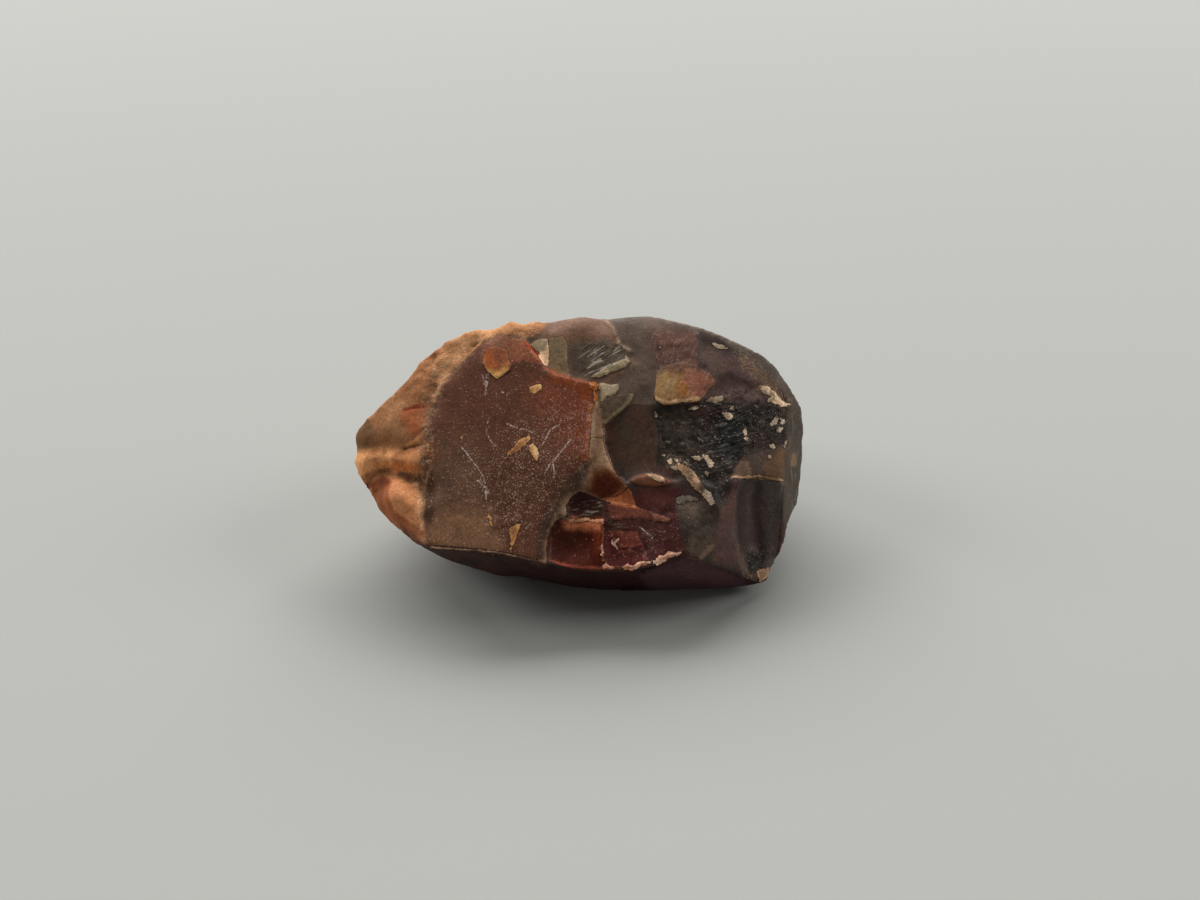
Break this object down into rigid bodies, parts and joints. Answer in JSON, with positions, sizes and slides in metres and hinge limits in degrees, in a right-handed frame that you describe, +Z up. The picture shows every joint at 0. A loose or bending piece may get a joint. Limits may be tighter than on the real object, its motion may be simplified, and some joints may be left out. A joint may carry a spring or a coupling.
{
  "type": "petrified wood chunk",
  "caption": "Hand-sized chunk of petrified wood: a broken brown, red and grey stone with a big matte facet, glassy flake scars, a lumpy tan rind on one end and a flat spot to stand on",
  "frame": {"origin": "middle of the bounding box's underside, on the level the stone stands on", "axes": "+Z up; +X along the stone's length, from the rind end to the broken end; the big facet faces -Y and up"},
  "size_m": [0.0912, 0.056, 0.0386],
  "materials": {
    "petrified_wood": "matte broken facets beside glassy flake scars, with a rough tan rind on one end"
  },
  "bodies": {
    "root": {"petrified_wood": "petrified_wood"}
  },
  "joints": []
}
